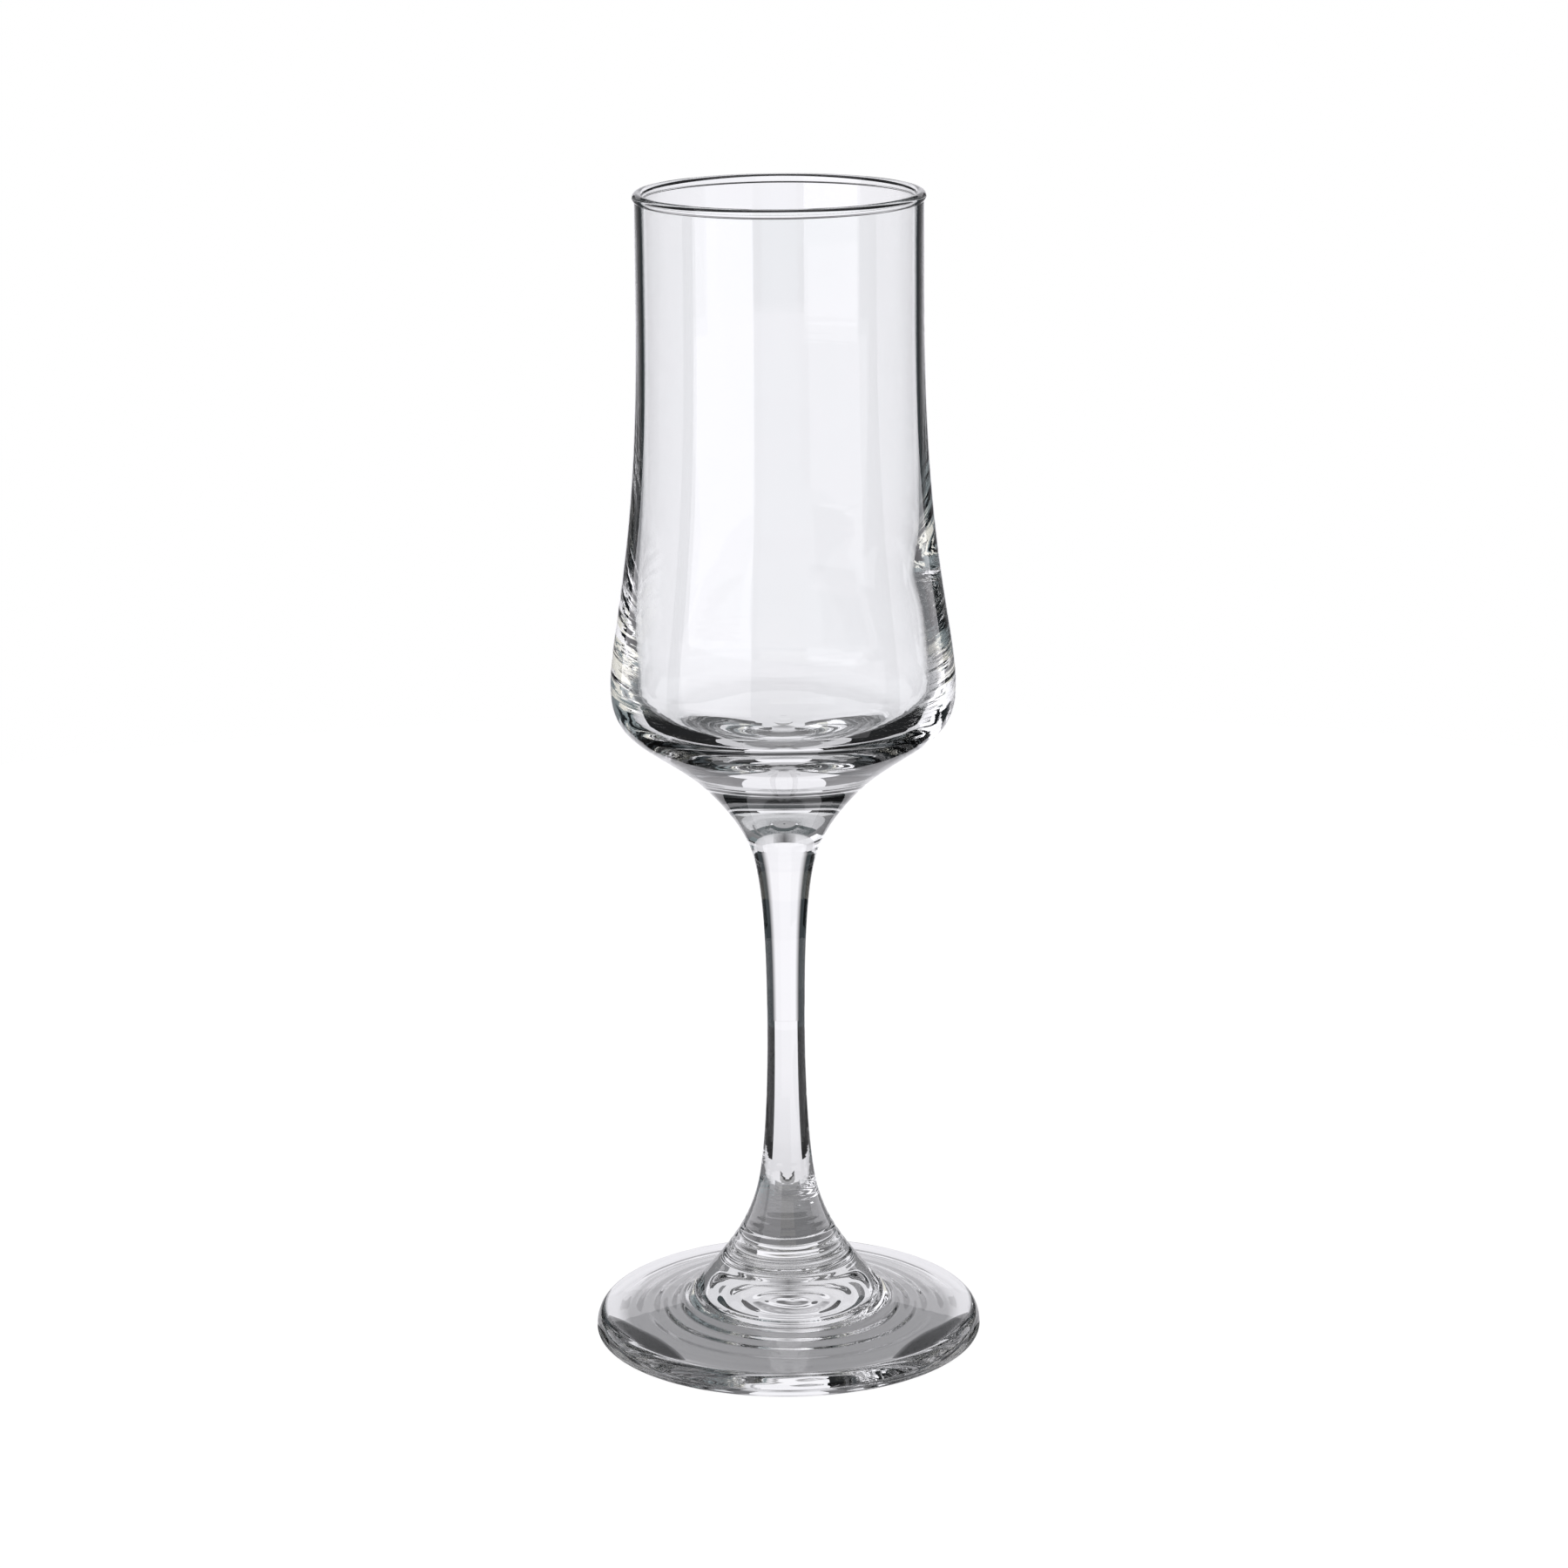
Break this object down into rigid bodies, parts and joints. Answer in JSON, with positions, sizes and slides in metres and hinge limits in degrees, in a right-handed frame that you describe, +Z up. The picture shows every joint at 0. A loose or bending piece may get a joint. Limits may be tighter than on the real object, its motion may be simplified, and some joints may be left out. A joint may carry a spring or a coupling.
{
  "type": "champagne glass",
  "caption": "Clear stemmed champagne glass: drawn-in bowl with a rounded belly and beaded rim, slender solid stem and dished round foot, welded end to end.",
  "frame": {"origin": "centre of the foot's standing ring, on the table", "axes": "+Z up along the axis of revolution, from the foot to the rim"},
  "size_m": [0.0674, 0.0674, 0.2],
  "materials": {
    "bowl_glass": "blown and fire-polished, clear",
    "stem_glass": "drawn, clear",
    "foot_glass": "pressed and fire-polished, clear"
  },
  "bodies": {
    "root": {"bowl": "bowl_glass", "stem": "stem_glass", "foot": "foot_glass"}
  },
  "joints": []
}
